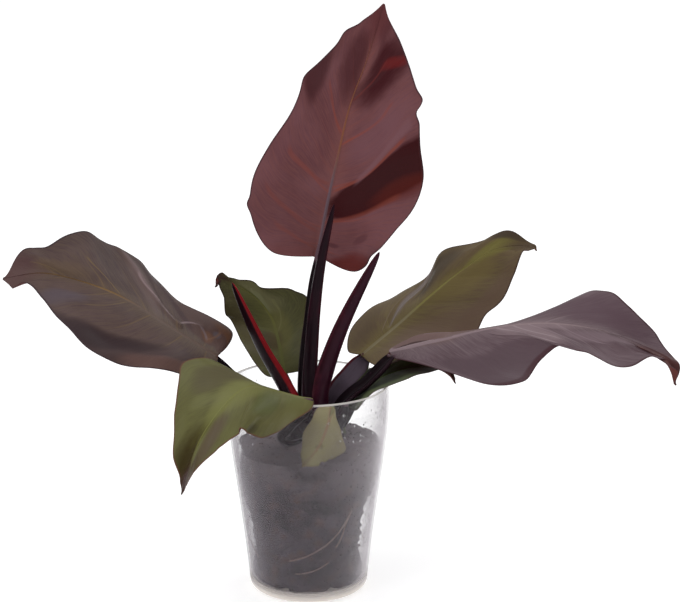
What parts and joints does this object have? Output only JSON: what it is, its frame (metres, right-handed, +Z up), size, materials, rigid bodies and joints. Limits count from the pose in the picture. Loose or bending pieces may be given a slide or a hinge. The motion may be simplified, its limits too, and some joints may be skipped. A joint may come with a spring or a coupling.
{
  "type": "potted sunlight philodendron",
  "caption": "Young philodendron with broad wavy dark leaves and rolled new leaves, growing from a stem in soil in a clear tapered glass pot.",
  "frame": {"origin": "centre of the pot's flat base, on the surface that the pot stands on", "axes": "+Z up along the pot's axis, +X to the right of someone facing the plant, along the widest spread of its leaves, +Y away from them"},
  "size_m": [0.4909, 0.2136, 0.4392],
  "materials": {
    "leaf_red": "satin living leaf, maroon with orange-red veins",
    "leaf_dark": "glossy living leaf, dark purple-brown",
    "leaf_olive": "glossy living leaf, olive green with a yellow-green midrib",
    "petiole": "smooth fleshy leaf stalk, nearly black maroon",
    "sheath": "glossy rolled leaf, black-maroon with red margins",
    "stem": "short fleshy stem with brown bark",
    "soil": "moist fine potting mix",
    "glass": "clear polished glass, hazed by damp soil inside"
  },
  "bodies": {
    "root": {"sheath_tall": "sheath", "sheath_right": "sheath", "sheath_left": "sheath", "petiole_tall": "petiole", "blade_tall": "leaf_red", "petiole_left": "petiole", "blade_left": "leaf_dark", "petiole_upright": "petiole", "blade_upright": "leaf_olive", "petiole_right": "petiole", "blade_right": "leaf_dark", "petiole_front": "petiole", "blade_front": "leaf_olive", "petiole_low": "petiole", "blade_low": "leaf_olive", "petiole_back": "petiole", "blade_back": "leaf_olive", "petiole_inner": "petiole", "blade_inner": "leaf_olive", "stem": "stem", "soil": "soil", "glass_pot": "glass"}
  },
  "joints": []
}
